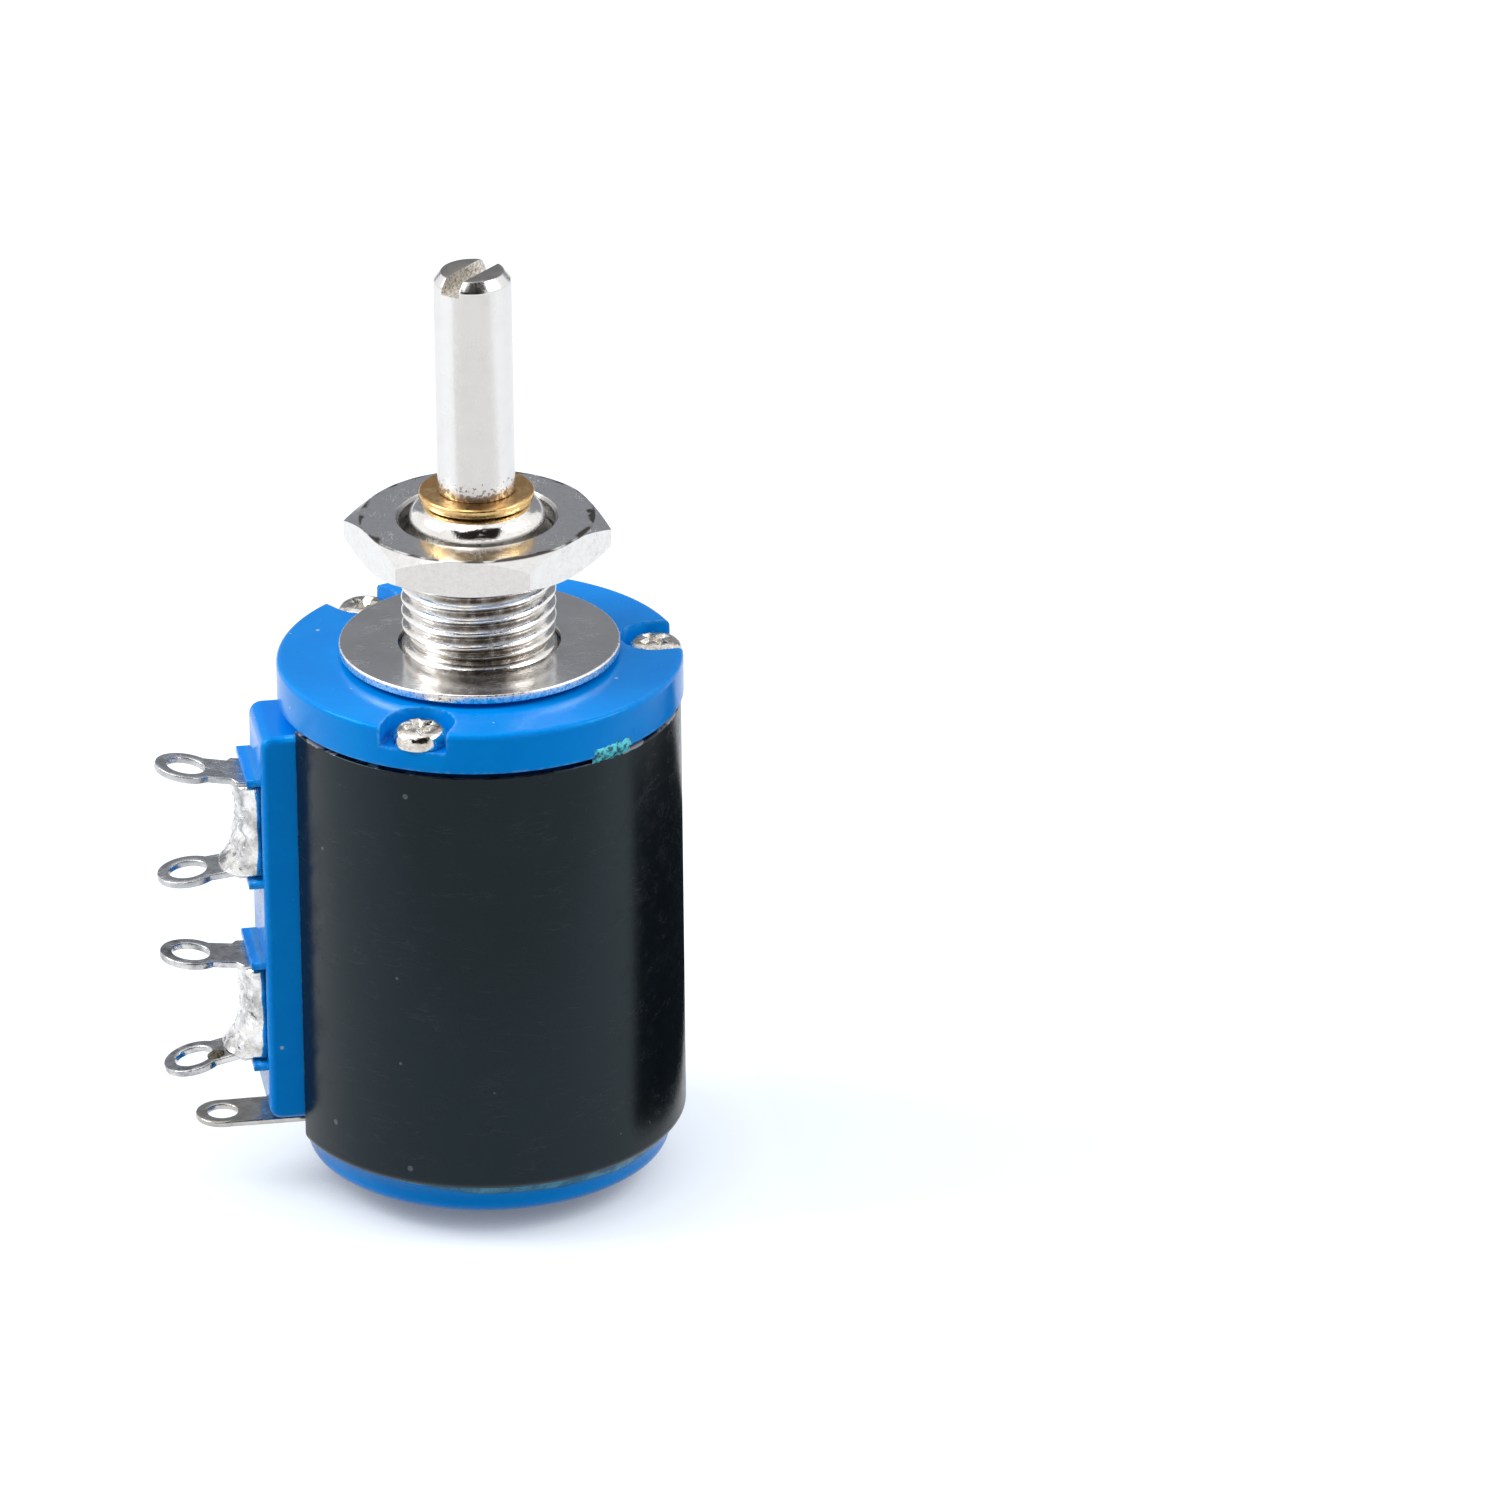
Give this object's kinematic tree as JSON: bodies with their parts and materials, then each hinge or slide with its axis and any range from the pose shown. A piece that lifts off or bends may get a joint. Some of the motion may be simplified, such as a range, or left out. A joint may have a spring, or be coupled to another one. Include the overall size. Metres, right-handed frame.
{
  "type": "multiturn potentiometer",
  "caption": "Cylindrical wire-wound potentiometer with a slotted control shaft, a threaded panel bushing with nut and washer, and solder lugs on a rib along its side.",
  "frame": {"origin": "where the shaft's axis crosses the front cap's seat, the plane that the panel washer lies on", "axes": "+Z out along the threaded bushing to the shaft's tip; -X towards the solder lugs; +Y completes the right-handed set"},
  "size_m": [0.0276, 0.021, 0.0504],
  "materials": {
    "blue_moulding": "satin moulded, bright blue",
    "sleeve_black": "satin black enamel",
    "nickel_plate": "bright nickel plate",
    "washer_steel": "plated, fine brushing",
    "shaft_steel": "turned and plated",
    "screw_plate": "bright plate",
    "clip_brass": "bright brass",
    "tinned_lug": "tinned sheet",
    "solder": "bright solder",
    "inner_brass": "plain",
    "winding": "fine wire wound on a copper core",
    "drum_plastic": "moulded",
    "carrier_plastic": "moulded"
  },
  "bodies": {
    "housing": {"front_cap": "blue_moulding", "cap_screws": "screw_plate", "bushing": "nickel_plate", "panel_washer": "washer_steel", "winding_case": "blue_moulding", "sleeve": "sleeve_black", "rear_cap": "blue_moulding", "rear_bearing": "inner_brass", "terminal_pair_front": "tinned_lug", "terminal_pair_rear": "tinned_lug", "solder_front": "solder", "solder_rear": "solder", "terminal_wiper": "tinned_lug", "collector_brush": "inner_brass", "resistance_element": "winding"},
    "rotor": {"shaft": "shaft_steel", "retaining_clip": "clip_brass", "rotor_drum": "drum_plastic", "contact_rail": "inner_brass", "collector_ring": "inner_brass", "thrust_washer": "shaft_steel"},
    "wiper": {"wiper_carrier": "carrier_plastic", "wiper_contact": "inner_brass"},
    "nut": {"panel_nut": "nickel_plate"}
  },
  "joints": [
    {"name": "shaft_turn", "type": "hinge", "parent": "housing", "child": "rotor", "pos_m": [0, 0, 0], "axis": [0, 0, 1], "range_deg": [-1800, 1800]},
    {"name": "wiper_travel", "type": "slide", "parent": "rotor", "child": "wiper", "axis": [0, 0, 1], "range_m": [-0.00691, 0.00691]},
    {"name": "nut_travel", "type": "slide", "parent": "housing", "child": "nut", "axis": [0, 0, 1], "range_m": [-0.00485, 0.0014]}
  ],
  "couplings": [
    {"joint": "wiper_travel", "follows": "shaft_turn", "m_per_rad": 0.00021963}
  ]
}
